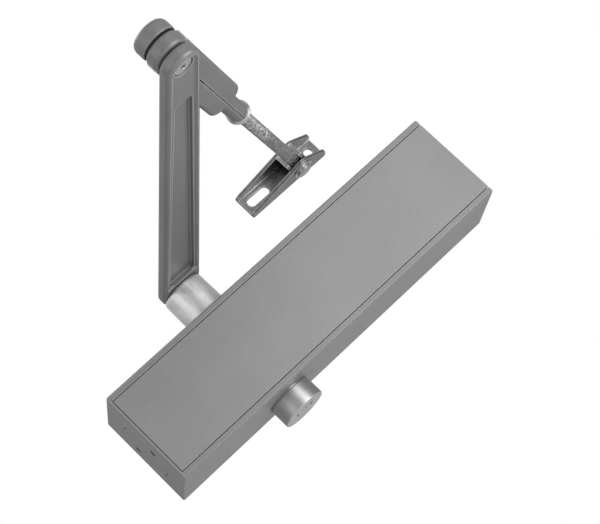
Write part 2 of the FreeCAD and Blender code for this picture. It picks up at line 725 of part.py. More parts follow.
def rod_end():
    """Strap bent round the shoe pin, its two legs on either side of the rod."""
    inner = TONGUE / 2
    outer = inner + STRAP_THICKNESS
    z0 = AXIS_Z - STRAP_HEIGHT / 2
    z1 = AXIS_Z + STRAP_HEIGHT / 2
    legs = block(-STRAP_LENGTH, 0, -outer, outer, z0, z1)
    strap = legs.fuse(post(outer, z0, z1)).removeSplitter()
    ends = edges_at(
        strap, lambda e: is_line_along(e, Y_AXIS) and abs(e.Vertexes[0].X + STRAP_LENGTH) < SAME_PLACE
    )
    strap = strap.makeFillet(STRAP_CORNER, ends)
    gap = block(-STRAP_LENGTH, 0, -inner, inner, z0, z1)
    strap = strap.cut([gap, post(inner, z0, z1)])
    strap = place(strap, 0, V(FOREARM_LENGTH, 0, 0))
    return place(strap, FOREARM_ANGLE, ELBOW)


def tangent_point(tip_x, tip_y):
    """Where the line from a flange tip touches the lug circle, on its open side."""
    distance = math.hypot(tip_x, tip_y)
    spread = math.acos(LUG_RADIUS / distance)
    direction = math.atan2(tip_y, tip_x)
    candidates = []
    for sign in (1, -1):
        angle = direction + sign * spread
        candidates.append((LUG_RADIUS * math.cos(angle), LUG_RADIUS * math.sin(angle)))
    return min(candidates, key=lambda point: point[1])


def shoe_flange(z0, z1):
    left_tip = (SHOE_LEFT, SHOE_BACK - TIP_HEIGHT_LEFT)
    right_tip = (SHOE_RIGHT, SHOE_BACK - TIP_HEIGHT_RIGHT)
    outline = [
        (SHOE_LEFT, SHOE_BACK), left_tip, tangent_point(*left_tip),
        tangent_point(*right_tip), right_tip, (SHOE_RIGHT, SHOE_BACK),
    ]
    flange = prism(outline, z0, z1).fuse(post(LUG_RADIUS, z0, z1)).removeSplitter()
    tips = edges_at(
        flange,
        lambda e: is_line_along(e, Z_AXIS)
        and (e.Vertexes[0].X < SHOE_LEFT + NEAR_END or e.Vertexes[0].X > SHOE_RIGHT - NEAR_END)
        and e.Vertexes[0].Y < SHOE_BACK - NEAR_END,
    )
    return flange.makeFillet(TIP_CORNER, tips)


def shoe():
    """Pressed channel with a slotted base and two lugs for the pin."""
    half = SHOE_WIDTH / 2
    base = block(SHOE_LEFT, SHOE_RIGHT, SHOE_BACK - SHEET, SHOE_BACK, -half, half)
    channel = base.fuse([shoe_flange(-half, SHEET - half), shoe_flange(half - SHEET, half)])
    channel = channel.removeSplitter()
    bends = edges_at(
        channel,
        lambda e: is_line_along(e, X_AXIS) and abs(e.Vertexes[0].Y - SHOE_BACK) < SAME_PLACE,
    )
    channel = channel.makeFillet(SHOE_BEND, bends)
    y0, y1 = SHOE_BACK - SHEET, SHOE_BACK
    cuts = [drill(SLOT_RADIUS, y0, y1, SLOT_LEFT), drill(SLOT_RADIUS, y0, y1, SLOT_RIGHT)]
    cuts.append(block(SLOT_LEFT, SLOT_RIGHT, y0, y1, -SLOT_RADIUS, SLOT_RADIUS))
    cuts.append(drill(SHOE_HOLE_RADIUS, y0, y1, SHOE_HOLE_X))
    cuts.append(post(STRAP_PIN_RADIUS, -half, half))
    return place(channel.cut(cuts), 0, SHOE_PIVOT)


def shoe_pin():
    """Pin with a head below the shoe and a riveted end above it."""
    half = SHOE_WIDTH / 2
    low = -half - SHOE_WASHER
    radius = STRAP_PIN_RADIUS
    head = post(SHOE_PIN_HEAD_RADIUS, low - SHOE_PIN_HEAD, low)
    head = head.makeFillet(SHOE_PIN_EDGE, edges_at(head, lambda e: lies_at_z(e, low - SHOE_PIN_HEAD)))
    rivet = Part.makeCone(RIVET_RADIUS, radius, RIVET_HEIGHT, V(0, 0, half), Z_AXIS)
    shank = post(radius, low, -STRAP_HEIGHT / 2).fuse([
        post(radius - RUNNING_CLEARANCE, -STRAP_HEIGHT / 2, STRAP_HEIGHT / 2),
        post(radius, STRAP_HEIGHT / 2, half),
    ])
    return place(head.fuse([shank, rivet]).removeSplitter(), 0, SHOE_PIVOT)


def shoe_washer():
    top = -SHOE_WIDTH / 2
    washer = ring(SHOE_WASHER_RADIUS, STRAP_PIN_RADIUS, top - SHOE_WASHER, top)
    return place(washer, 0, SHOE_PIVOT)


def nodes():
    valves = list(valve_places())
    return {
        "housing": housing(),
        "front_cover": front_cover(),
        "cover_clips": cover_clips(),
        "valve_end_plug": valve_end_plug(),
        "spring_end_plug": spring_end_plug(),
        "end_plug_seals": Part.makeCompound([end_seal(s, SEAL_SECTION) for s in (-1, 1)]),
        "closing_speed_valve": valve_screw(valves[0]),
        "latching_speed_valve": valve_screw(valves[1]),
        "spring_adjust_screw": spring_adjust_screw(),
        "spring_seat": spring_seat(),
        "closing_spring": closing_spring(),
        "piston": piston(),
        "check_valve": check_valve(),
        "pinion_spindle": pinion_spindle(),
        "spindle_bearings": spindle_bearings(),
        "spindle_seals": spindle_seals(),
        "bearing_nuts": bearing_nuts(),
        "spindle_cap": spindle_cap(),
        "arm_hub": arm_hub(),
        "main_arm": main_arm(),
        "arm_washer": arm_washer(),
        "arm_screw": arm_screw(),
        "elbow_pin": elbow_pin(),
        "elbow_spacer": elbow_spacer(),
        "elbow_bush": elbow_bush(),
        "elbow_washer": elbow_washer(),
        "elbow_cap": elbow_cap(),
        "forearm_sleeve": forearm_sleeve(),
        "sleeve_collar": sleeve_collar(),
        "adjusting_rod": adjusting_rod(),
        "rod_end": rod_end(),
        "shoe": shoe(),
        "shoe_pin": shoe_pin(),
        "shoe_washer": shoe_washer(),
    }


def main():
    os.makedirs("parts", exist_ok=True)
    for name, shape in nodes().items():
        shape.exportStep("parts/" + name + ".step")
        box = shape.BoundBox
        volume = sum(solid.Volume for solid in shape.Solids)
        print(name, len(shape.Solids), shape.isValid(), round(volume, 1), box)


main()
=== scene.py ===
import json
import math

import bmesh
import bpy
from mathutils import Matrix, Vector


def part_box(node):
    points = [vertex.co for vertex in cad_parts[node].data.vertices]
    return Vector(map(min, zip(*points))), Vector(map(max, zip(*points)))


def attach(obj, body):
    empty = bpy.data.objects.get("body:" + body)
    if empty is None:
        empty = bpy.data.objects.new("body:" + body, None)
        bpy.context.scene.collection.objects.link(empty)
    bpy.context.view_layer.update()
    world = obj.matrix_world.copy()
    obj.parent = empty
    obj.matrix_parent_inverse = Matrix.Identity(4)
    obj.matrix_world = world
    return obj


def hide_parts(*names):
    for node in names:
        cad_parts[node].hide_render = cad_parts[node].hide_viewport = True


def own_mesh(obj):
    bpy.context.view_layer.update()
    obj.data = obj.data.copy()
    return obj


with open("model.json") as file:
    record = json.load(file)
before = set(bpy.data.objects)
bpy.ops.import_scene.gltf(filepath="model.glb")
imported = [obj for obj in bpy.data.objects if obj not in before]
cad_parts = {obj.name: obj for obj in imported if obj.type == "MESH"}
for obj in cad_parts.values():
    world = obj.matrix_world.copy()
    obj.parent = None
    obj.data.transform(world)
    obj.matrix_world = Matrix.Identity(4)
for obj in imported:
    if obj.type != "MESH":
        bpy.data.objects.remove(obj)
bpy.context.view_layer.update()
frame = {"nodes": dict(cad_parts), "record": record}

NODES = frame["nodes"]
RECORD = frame["record"]
JOINTS = {joint["name"]: joint for joint in RECORD["behaviour"]["joints"]}
MM = 0.001

# Camera: where it looks, from which side, how far away, and its roll about the line of sight
LOOK_AT = Vector((-0.0069, -0.0936, 0.0027))
CAMERA_AZIMUTH = math.radians(19.09)
CAMERA_ELEVATION = math.radians(-12.48)
CAMERA_ROLL = math.radians(46.52)
CAMERA_DISTANCE = 0.9504
CAMERA_LENS = 111.0
SENSOR_WIDTH = 36.0

FLOOR_Z = -0.32
FLOOR_SIZE = 6.0

# Fineness of turned pieces, and the angles above which an edge stays sharp
FINE_ROUND = 128
FINE_CORNER = 6
COARSE_CORNER = 3
ON_AXIS = 1e-6
TURNED_SHARP = math.radians(35.0)
SWEPT_SHARP = math.radians(60.0)

# Brightness of the surroundings by direction, from straight down to straight up
SKY = ((0.0, 0.12), (0.36, 0.18), (0.47, 0.10), (0.56, 0.26), (0.72, 0.66), (1.0, 0.62))

# Lights: name, direction as (right, up, forward) seen from the camera, distance, size, power
LIGHTS = (
    ("key", (0.55, 0.9, -0.9), 1.6, 0.9, 3.4),
    ("fill", (-1.0, -0.2, -0.8), 1.6, 1.2, 3.3),
    ("edge", (-1.0, 0.5, 0.35), 1.2, 0.4, 3.0),
    ("right_end", (0.7, 0.4, -0.8), 0.5, 0.25, 0.95),
)

# Places taken from the joints
SPINDLE = Vector(JOINTS["spindle_turn"]["pos_m"])
ELBOW = Vector(JOINTS["elbow"]["pos_m"])
ROD_AXIS = Vector(JOINTS["rod_adjust"]["axis"]).normalized()
SHOE_PIVOT = Vector(JOINTS["shoe_pivot"]["pos_m"])
REACH = (SHOE_PIVOT - ELBOW).to_2d().length

# Adjusting rod and sleeve, measured from the elbow along the rod
ROD_RADIUS = 3.75 * MM
ROD_START = 60.0 * MM
TUBE_END = 137.5 * MM
THREAD_PITCH = 1.25 * MM
THREAD_DEPTH = 0.6 * MM
THREAD_END = 215.0 * MM
THREAD_FADE = 25.0 * MM
ROD_LUMPS = 0.016
ROD_SEGMENTS = 40
STATIONS_PER_TURN = 5
TONGUE_HALF = 3.8 * MM
TONGUE_CORNER = 1.3
SQUARE_START = REACH - 19.0 * MM
SQUARE_BLEND = 5.0 * MM
TONGUE_END = REACH - 5.25 * MM

# Lip of the sleeve: (radius, height) points in mm from the tube's end
LIP_CLEARANCE = 0.12 * MM
LIP_BORE_LENGTH = 0.9 * MM
LIP_SEGMENTS = 72
LIP_FLARE = (
    (5.15, 0.0), (5.35, 0.4), (5.9, 0.9), (6.3, 1.2), (6.4, 1.5),
    (6.25, 1.85), (5.9, 2.0), (5.3, 1.8), (4.7, 1.2),
)

# Cap under the spindle; the notches are (offset, width) in mm
CAP_WALL = 1.25 * MM
CAP_FLOOR = 2.0 * MM
CAP_FACE_DEPTH = 0.35 * MM
CAP_FACE_RIM = 2.9 * MM
CAP_LAND = 2.4 * MM
CAP_LIP = 0.3 * MM
CAP_ROUNDING = 1.1 * MM
CAP_NOTCHES = ((-5.2, 5.0), (-1.3, 3.0), (1.3, 3.0), (5.2, 5.0))
NOTCH_LENGTH = 1.3 * MM
NOTCH_DEPTH = 5.0 * MM

# Knob on the elbow
KNOB_BORE = 4.0 * MM
KNOB_BORE_DEPTH = 5.0 * MM
KNOB_FOOT_INSET = 0.2 * MM
KNOB_FOOT = 0.3 * MM
KNOB_CROWN = 2.7 * MM
KNOB_SHOULDER = 0.9 * MM
KNOB_DOME_INSET = 3.0 * MM
KNOB_DOME_DROP = 0.15 * MM
KNOB_ROUNDING = 1.3 * MM

# Cast hub under the main arm
HUB_BORE = 7.85 * MM
HUB_FOOT = 1.2 * MM
HUB_FOOT_TOP = 1.6 * MM
HUB_FOOT_INSET = 0.1 * MM
HUB_SIDE_START = 1.9 * MM
HUB_SIDE_STEPS = 10
HUB_TOP_DROP = 1.5 * MM
HUB_DRAFT = 0.25 * MM
HUB_SHOULDER = 0.5 * MM
HUB_FACE_INSET = 1.8 * MM
HUB_ROUNDING = 0.5 * MM
HUB_SEGMENTS = 96
HUB_WAVE = 500.0
HUB_UNEVENNESS = 0.004

# Closing spring
SPRING_WIRE_RADIUS = 1.9 * MM
SPRING_TURNS = 14
SPRING_STATIONS = 40
WIRE_SEGMENTS = 14


# ---------------------------------------------------------------- camera, floor and light

def add_camera():
    forward = Vector((
        math.cos(CAMERA_ELEVATION) * math.sin(CAMERA_AZIMUTH),
        math.cos(CAMERA_ELEVATION) * math.cos(CAMERA_AZIMUTH),
        -math.sin(CAMERA_ELEVATION),
    ))
    level_right = forward.cross(Vector((0, 0, 1))).normalized()
    level_up = level_right.cross(forward)
    right = level_right * math.cos(CAMERA_ROLL) - level_up * math.sin(CAMERA_ROLL)
    up = right.cross(forward)
    turn = Matrix((right, up, -forward)).transposed().to_4x4()
    data = bpy.data.cameras.new("camera")
    data.lens = CAMERA_LENS
    data.sensor_width = SENSOR_WIDTH
    data.clip_start = 0.01
    camera = bpy.data.objects.new("camera", data)
    camera.matrix_world = Matrix.Translation(LOOK_AT - forward * CAMERA_DISTANCE) @ turn
    bpy.context.scene.collection.objects.link(camera)
    bpy.context.scene.camera = camera
    return right, up, forward


def add_area_light(name, towards, distance, size, power):
    """Soft square light that shines on the object from one side."""
    data = bpy.data.lights.new(name, "AREA")
    data.shape = "SQUARE"
    data.size = size
    data.energy = power
    light = bpy.data.objects.new(name, data)
    light.location = LOOK_AT + towards.normalized() * distance
    light.rotation_euler = towards.to_track_quat("Z", "Y").to_euler()
    bpy.context.scene.collection.objects.link(light)


def add_world():
    """White seen directly, and a soft studio gradient with a dark band for reflections."""
    world = bpy.data.worlds.new("studio")
    world.use_nodes = True
    tree = world.node_tree
    background = tree.nodes["Background"]
    coordinates = tree.nodes.new("ShaderNodeTexCoord")
    split = tree.nodes.new("ShaderNodeSeparateXYZ")
    shift = tree.nodes.new("ShaderNodeMapRange")
    shift.inputs["From Min"].default_value = -1.0
    ramp = tree.nodes.new("ShaderNodeValToRGB")
    set_ramp(ramp, SKY)
    path = tree.nodes.new("ShaderNodeLightPath")
    mix = tree.nodes.new("ShaderNodeMix")
    mix.data_type = "RGBA"
    tree.links.new(coordinates.outputs["Generated"], split.inputs[0])
    tree.links.new(split.outputs["Z"], shift.inputs["Value"])
    tree.links.new(shift.outputs["Result"], ramp.inputs["Fac"])
    tree.links.new(path.outputs["Is Camera Ray"], mix.inputs["Factor"])
    tree.links.new(ramp.outputs["Color"], mix.inputs["A"])
    mix.inputs["B"].default_value = (1.0, 1.0, 1.0, 1.0)
    tree.links.new(mix.outputs["Result"], background.inputs["Color"])
    background.inputs["Strength"].default_value = 1.0
    bpy.context.scene.world = world


def add_floor():
    mesh = bpy.data.meshes.new("floor")
    half = FLOOR_SIZE / 2
    corners = [(-half, -half), (half, -half), (half, half), (-half, half)]
    mesh.from_pydata([(x, y, FLOOR_Z) for x, y in corners], [], [(0, 1, 2, 3)])
    floor = bpy.data.objects.new("floor", mesh)
    bpy.context.scene.collection.objects.link(floor)
    material = Finish("pale_floor", 0.0, 0.6)
    material.tint([(0.0, 0.86), (1.0, 0.90)], material.noise(8.0, 3.0))
    mesh.materials.append(material.material)


# ---------------------------------------------------------------- materials

def set_ramp(ramp, stops):
    """Grey (position, value) or coloured (position, (r, g, b)) stops on a Color Ramp."""
    elements = ramp.color_ramp.elements
    while len(elements) < len(stops):
        elements.new(0.5)
    for element, (position, value) in zip(elements, stops):
        element.position = position
        rgb = (value, value, value) if isinstance(value, float) else value
        element.color = (*rgb, 1.0)


class Finish:
    """A Principled material whose detail comes from textures in the object's own metres."""

    def __init__(self, name, metallic, roughness):
        self.material = bpy.data.materials.new(name)
        self.material.use_nodes = True
        self.tree = self.material.node_tree
        self.shader = self.tree.nodes["Principled BSDF"]
        self.shader.inputs["Metallic"].default_value = metallic
        self.shader.inputs["Roughness"].default_value = roughness
        self.place = self.node("ShaderNodeTexCoord").outputs["Object"]
        self.normal = None

    def node(self, kind, **settings):
        made = self.tree.nodes.new(kind)
        for key, value in settings.items():
            setattr(made, key, value)
        return made

    def link(self, source, target):
        self.tree.links.new(source, target)

    def vector(self, scale=(1, 1, 1), centre=(0, 0, 0), turn=0.0):
        """The object's coordinates moved to a centre, turned about Z and scaled."""
        move = self.node("ShaderNodeVectorMath", operation="SUBTRACT")
        self.link(self.place, move.inputs[0])
        move.inputs[1].default_value = centre
        spin = self.node("ShaderNodeMapping", vector_type="POINT")
        spin.inputs["Rotation"].default_value = (0, 0, -turn)
        self.link(move.outputs[0], spin.inputs["Vector"])
        stretch = self.node("ShaderNodeVectorMath", operation="MULTIPLY")
        self.link(spin.outputs[0], stretch.inputs[0])
        stretch.inputs[1].default_value = scale
        return stretch.outputs[0]

    def radial(self, centre, radius_scale, height_scale):
        """(radius, height) round a Z axis, for marks left by turning on a lathe."""
        move = self.node("ShaderNodeVectorMath", operation="SUBTRACT")
        self.link(self.place, move.inputs[0])
        move.inputs[1].default_value = centre
        split = self.node("ShaderNodeSeparateXYZ")
        self.link(move.outputs[0], split.inputs[0])
        flat = self.node("ShaderNodeCombineXYZ")
        self.link(split.outputs["X"], flat.inputs["X"])
        self.link(split.outputs["Y"], flat.inputs["Y"])
        radius = self.node("ShaderNodeVectorMath", operation="LENGTH")
        self.link(flat.outputs[0], radius.inputs[0])
        both = self.node("ShaderNodeCombineXYZ")
        self.link(self.scaled(radius.outputs["Value"], radius_scale), both.inputs["X"])
        self.link(self.scaled(split.outputs["Z"], height_scale), both.inputs["Y"])
        return both.outputs[0]

    def scaled(self, source, factor):
        times = self.node("ShaderNodeMath", operation="MULTIPLY")
        self.link(source, times.inputs[0])
        times.inputs[1].default_value = factor
        return times.outputs[0]

    def noise(self, scale, detail=2.0, vector=None, distortion=0.0):
        texture = self.node("ShaderNodeTexNoise")
        texture.inputs["Scale"].default_value = scale
        texture.inputs["Detail"].default_value = detail
        texture.inputs["Distortion"].default_value = distortion
        self.link(vector or self.place, texture.inputs["Vector"])
        return texture.outputs["Fac"]

    def cells(self, scale, vector=None):
        texture = self.node("ShaderNodeTexVoronoi")
        texture.inputs["Scale"].default_value = scale
        self.link(vector or self.place, texture.inputs["Vector"])
        return texture.outputs["Distance"]

    def blend(self, first, second, share):
        """Weighted sum of two grey values."""
        mix = self.node("ShaderNodeMix", data_type="FLOAT")
        mix.inputs["Factor"].default_value = share
        self.link(first, mix.inputs["A"])
        self.link(second, mix.inputs["B"])
        return mix.outputs["Result"]

    def ramp(self, source, stops):
        ramp = self.node("ShaderNodeValToRGB")
        set_ramp(ramp, stops)
        self.link(source, ramp.inputs["Fac"])
        return ramp.outputs["Color"]

    def tint(self, stops, source):
        self.link(self.ramp(source, stops), self.shader.inputs["Base Color"])

    def gloss(self, low, high, source):
        spread = self.node("ShaderNodeMapRange")
        spread.inputs["From Min"].default_value = 0.3
        spread.inputs["From Max"].default_value = 0.7
        spread.inputs["To Min"].default_value = low
        spread.inputs["To Max"].default_value = high
        self.link(source, spread.inputs["Value"])
        self.link(spread.outputs["Result"], self.shader.inputs["Roughness"])

    def soft_edges(self, radius):
        """Rounds the look of sharp edges, as paint or tumbling does."""
        bevel = self.node("ShaderNodeBevel", samples=6)
        bevel.inputs["Radius"].default_value = radius
        self.normal = bevel.outputs["Normal"]
        self.link(self.normal, self.shader.inputs["Normal"])

    def bump(self, source, distance, strength=1.0):
        bump = self.node("ShaderNodeBump")
        bump.inputs["Distance"].default_value = distance
        bump.inputs["Strength"].default_value = strength
        self.link(source, bump.inputs["Height"])
        if self.normal:
            self.link(self.normal, bump.inputs["Normal"])
        self.normal = bump.outputs["Normal"]
        self.link(self.normal, self.shader.inputs["Normal"])

    def paint_edge_highlight(self, base, radius, edge_highlight):
        """Painted edge highlight: lightens the colour where an edge is near, as light caught on
        rounded edges would. base is a colour output.
        """
        bevel = self.node("ShaderNodeBevel", samples=6)
        bevel.inputs["Radius"].default_value = radius
        geometry = self.node("ShaderNodeNewGeometry")
        dot = self.node("ShaderNodeVectorMath", operation="DOT_PRODUCT")
        self.link(bevel.outputs["Normal"], dot.inputs[0])
        self.link(geometry.outputs["Normal"], dot.inputs[1])
        near = self.node("ShaderNodeMapRange")
        near.inputs["From Min"].default_value = 0.99
        near.inputs["From Max"].default_value = 0.80
        self.link(dot.outputs["Value"], near.inputs["Value"])
        # painted highlight: mix towards a pale grey near the edges
        mix = self.node("ShaderNodeMix", data_type="RGBA")
        self.link(near.outputs["Result"], mix.inputs["Factor"])
        self.link(base, mix.inputs["A"])
        mix.inputs["B"].default_value = (edge_highlight, edge_highlight, edge_highlight, 1.0)
        self.link(mix.outputs["Result"], self.shader.inputs["Base Color"])


def powder_coat(name, dark, light, grain=1900.0, edge=0.0007, edge_highlight=1.25):
    """Satin silver-grey coat: fine metallic flake, slight orange peel, and paler edges painted on
    as an edge highlight.
    """
    finish = Finish(name, 0.35, 0.42)
    flake = finish.blend(finish.noise(grain, 3.0), finish.cells(grain * 0.8), 0.4)
    cloud = finish.noise(14.0, 4.0)
    both = finish.blend(flake, cloud, 0.45)
    colour = finish.ramp(both, [(0.32, dark), (0.68, light)])
    # painted edge highlight: paler colour near the edges
    finish.paint_edge_highlight(colour, edge, light * edge_highlight)
    finish.gloss(0.36, 0.52, flake)
    finish.soft_edges(0.0004)
    finish.bump(finish.noise(1100.0, 2.0), 0.00003, 0.5)
    finish.bump(finish.noise(90.0, 2.0), 0.00004, 0.5)
    return finish.material


def turned_metal(name, dark, light, centre, roughness):
    """Lathe-turned face and rim: fine rings round the spindle axis."""
    finish = Finish(name, 1.0, roughness)
    rings = finish.noise(1.0, 3.0, finish.radial(centre, 5200.0, 5200.0))
    smudge = finish.noise(120.0, 4.0)
    finish.tint([(0.3, dark), (0.7, light)], finish.blend(rings, smudge, 0.5))
    finish.gloss(roughness - 0.07, roughness + 0.1, finish.blend(rings, smudge, 0.4))
    finish.soft_edges(0.0004)
    finish.bump(rings, 0.00002, 0.6)
    return finish.material


def cast_metal(name, dark, light):
    """Bright tumbled casting: soft pits, streaks along Z and a soft sheen."""
    finish = Finish(name, 0.85, 0.46)
    streaks = finish.noise(1.0, 4.0, finish.vector((700.0, 700.0, 110.0)))
    pits = finish.noise(420.0, 4.0)
    both = finish.blend(streaks, pits, 0.5)
    finish.tint([(0.3, dark), (0.7, light)], both)
    finish.gloss(0.38, 0.58, streaks)
    finish.soft_edges(0.0005)
    finish.bump(pits, 0.00012, 0.7)
    finish.bump(finish.noise(150.0, 2.0), 0.0002, 0.5)
    return finish.material


def plated_steel(name, dark, light, roughness, grain=260.0, edge=0.0005):
    """Plated or pressed steel: cloudy patches, a fine grain and paler edges painted on as an edge
    highlight.
    """
    finish = Finish(name, 0.9, roughness)
    cloud = finish.noise(grain, 5.0, distortion=0.6)
    fine = finish.noise(2400.0, 2.0)
    both = finish.blend(cloud, fine, 0.35)
    colour = finish.ramp(both, [(0.3, dark), (0.7, light)])
    # painted edge highlight: paler colour near the edges, up to near white
    finish.paint_edge_highlight(colour, edge, min(0.95, light * 2.4))
    finish.gloss(roughness - 0.1, roughness + 0.14, cloud)
    finish.soft_edges(0.0003)
    finish.bump(both, 0.00003, 0.7)
    return finish.material


def galvanised(name):
    """Rough hot-dipped coat with a fine spangle and lumps."""
    finish = Finish(name, 0.85, 0.5)
    turn = math.atan2(ROD_AXIS.y, ROD_AXIS.x)
    along = finish.vector((900.0, 900.0, 900.0), tuple(ELBOW), turn)
    spangle = finish.cells(1.0, along)
    lumps = finish.noise(620.0, 5.0, distortion=1.2)
    both = finish.blend(spangle, lumps, 0.6)
    finish.tint([(0.28, 0.07), (0.42, 0.24), (0.54, 0.44), (0.75, 0.78)], both)
    finish.gloss(0.38, 0.62, lumps)
    finish.bump(lumps, 0.00035, 0.8)
    return finish.material


def moulded(name, dark, light, roughness):
    """Black plastic or rubber with a fine moulded grain."""
    finish = Finish(name, 0.0, roughness)
    grain = finish.noise(1500.0, 3.0)
    finish.tint([(0.3, dark), (0.7, light)], finish.blend(grain, finish.noise(60.0, 3.0), 0.5))
    finish.gloss(roughness - 0.08, roughness + 0.12, grain)
    finish.bump(grain, 0.00003, 0.6)
    return finish.material


def ground_steel(name, dark, light, roughness):
    """Machined steel: fine grinding lines round or along the part."""
    finish = Finish(name, 1.0, roughness)
    lines = finish.noise(1.0, 3.0, finish.vector((120.0, 3200.0, 3200.0)))
    finish.tint([(0.3, dark), (0.7, light)], finish.blend(lines, finish.noise(200.0, 3.0), 0.4))
    finish.gloss(roughness - 0.06, roughness + 0.1, lines)
    finish.soft_edges(0.0002)
    finish.bump(lines, 0.00002, 0.6)
    return finish.material


def blacked_and_shaded(name):
    """Screw head finished by oil blacking: matt, with brown patches. Its near-black tone is also
    painted shade that darkens the deep valve recesses.
    """
    finish = Finish(name, 0.0, 0.75)
    finish.shader.inputs["Specular IOR Level"].default_value = 0.1
    patches = finish.noise(900.0, 3.0)
    # near-black tone: partly the oil blacking, partly painted shade for the valve recesses
    finish.tint([(0.3, (0.004, 0.004, 0.004)), (0.7, (0.014, 0.012, 0.010))], patches)
    finish.gloss(0.65, 0.85, patches)
    return finish.material


def sintered_bronze(name):
    finish = Finish(name, 1.0, 0.45)
    pores = finish.cells(1800.0)
    finish.tint([(0.1, (0.26, 0.15, 0.06)), (0.5, (0.56, 0.37, 0.17))], pores)
    finish.gloss(0.4, 0.6, finish.noise(300.0, 3.0))
    finish.bump(pores, 0.00004, 0.7)
    return finish.material


def slot_materials():
    """Finish of every material slot. dark and light are the ends of its grey or colour range."""
    return {
        # edge sets how far the painted edge highlight reaches, and a coat's last number sets how
        # pale it is
        "silver_paint": powder_coat("silver_coat", 0.225, 0.305, edge=0.0008, edge_highlight=1.5),
        "cover_paint": powder_coat("cover_coat", 0.255, 0.335),
        "arm_paint": powder_coat("arm_coat", 0.165, 0.255, grain=1500.0, edge=0.0012, edge_highlight=2.1),
        "satin_metal": turned_metal("satin_turned", 0.46, 0.62, tuple(SPINDLE), roughness=0.40),
        "cast_metal": cast_metal("tumbled_casting", 0.74, 0.94),
        "zinc_steel": plated_steel("zinc_plate", 0.36, 0.60, roughness=0.32),
        "galvanised_steel": galvanised("hot_dip_zinc"),
        "shoe_steel": plated_steel(
            "pressed_sheet", 0.15, 0.30, roughness=0.30, grain=180.0, edge=0.0010
        ),
        "machined_steel": ground_steel("ground_steel", 0.40, 0.56, roughness=0.28),
        "dark_steel": blacked_and_shaded("blacked_steel_painted_shade"),
        "spring_steel": ground_steel("oiled_spring_steel", 0.16, 0.30, roughness=0.30),
        "bearing_bronze": sintered_bronze("sintered_bronze"),
        "black_nylon": moulded("black_nylon", 0.010, 0.022, roughness=0.42),
        "clip_plastic": moulded("clip_plastic", 0.06, 0.10, roughness=0.45),
        "seal_rubber": moulded("nitrile_rubber", 0.015, 0.035, roughness=0.60),
    }


def finish_cad_nodes(materials):
    for subpart in RECORD["subparts"]:
        thing = NODES[subpart["node"]]
        for slot in thing.material_slots:
            slot.material = materials[subpart["material_slot"]]


# ---------------------------------------------------------------- mesh tools

def round_corners(points, radius, steps):
    """Outline with each corner between its ends replaced by a short curve."""
    outline = [points[0]]
    for before, corner, after in zip(points, points[1:], points[2:]):
        middle = Vector(corner)
        back = Vector(before) - middle
        ahead = Vector(after) - middle
        reach = min(radius, back.length / 2, ahead.length / 2)
        start = middle + back.normalized() * reach
        end = middle + ahead.normalized() * reach
        for step in range(steps + 1):
            t = step / steps
            outline.append(tuple(start * (1 - t) ** 2 + middle * 2 * t * (1 - t) + end * t * t))
    outline.append(points[-1])
    return outline


def upright(place):
    """Frame whose Z axis is the CAD's Z, at a place on the XY plane."""
    return Matrix.Translation((place.x, place.y, 0.0))


def along_rod(distance):
    """Frame on the rod's axis whose Z axis points from the elbow to the shoe."""
    turn = ROD_AXIS.to_track_quat("Z", "Y").to_matrix().to_4x4()
    start = Vector((ELBOW.x, ELBOW.y, SHOE_PIVOT.z)) + ROD_AXIS * distance
    return Matrix.Translation(start) @ turn


def join_rings(builder, first, second):
    """Quads between two rings of one count, or a fan where one ring is a single vertex."""
    count = max(len(first), len(second))
    for index in range(count):
        following = (index + 1) % count
        corners = []
        for ring, order in ((first, (index, following)), (second, (following, index))):
            if len(ring) == 1:
                corners.append(ring[0])
            else:
                corners.extend(ring[k] for k in order)
        builder.faces.new(corners)


def skin_rings(name, builder, rings, material, sharp, closed=False):
    """Object whose surface joins each ring to the next, smooth up to the sharp angle."""
    for first, second in zip(rings, rings[1:]):
        join_rings(builder, first, second)
    if closed:
        join_rings(builder, rings[-1], rings[0])
    bmesh.ops.recalc_face_normals(builder, faces=builder.faces)
    mesh = bpy.data.meshes.new(name)
    builder.to_mesh(mesh)
    builder.free()
    for polygon in mesh.polygons:
        polygon.use_smooth = True
    mesh.set_sharp_from_angle(angle=sharp)
    mesh.materials.append(material)
    piece = bpy.data.objects.new(name, mesh)
    bpy.context.scene.collection.objects.link(piece)
    return piece


def revolve(name, outline, place, material, segments, wobble=None, closed=False):
    """Body of revolution from (radius, height) points in metres."""
    builder = bmesh.new()
    rings = []
    for radius, height in outline:
        if radius < ON_AXIS:
            rings.append([builder.verts.new(place @ Vector((0, 0, height)))])
            continue
        ring = []
        for index in range(segments):
            angle = 2 * math.pi * index / segments
            size = radius * (wobble(angle, height) if wobble else 1.0)
            point = Vector((size * math.cos(angle), size * math.sin(angle), height))
            ring.append(builder.verts.new(place @ point))
        rings.append(ring)
    return skin_rings(name, builder, rings, material, TURNED_SHARP, closed)


def cutter_block(place, size):
    """Block for a boolean cut, linked to the scene until the cut is made."""
    builder = bmesh.new()
    bmesh.ops.create_cube(builder, size=1.0)
    bmesh.ops.scale(builder, vec=size, verts=builder.verts)
    bmesh.ops.translate(builder, vec=place, verts=builder.verts)
    mesh = bpy.data.meshes.new("cutter")
    builder.to_mesh(mesh)
    builder.free()
    cutter = bpy.data.objects.new("cutter", mesh)
    bpy.context.scene.collection.objects.link(cutter)
    return cutter


def carve(piece, blocks):
    """Cuts blocks, each (place, size), out of a piece."""
    for place, size in blocks:
        cutter = cutter_block(place, size)
        cut = piece.modifiers.new("cut", "BOOLEAN")
        cut.operation = "DIFFERENCE"
        cut.object = cutter
        bpy.context.view_layer.update()
        evaluated = piece.evaluated_get(bpy.context.evaluated_depsgraph_get())
        shaped = bpy.data.meshes.new_from_object(evaluated)
        piece.modifiers.clear()
        piece.data = shaped
        bpy.data.objects.remove(cutter)


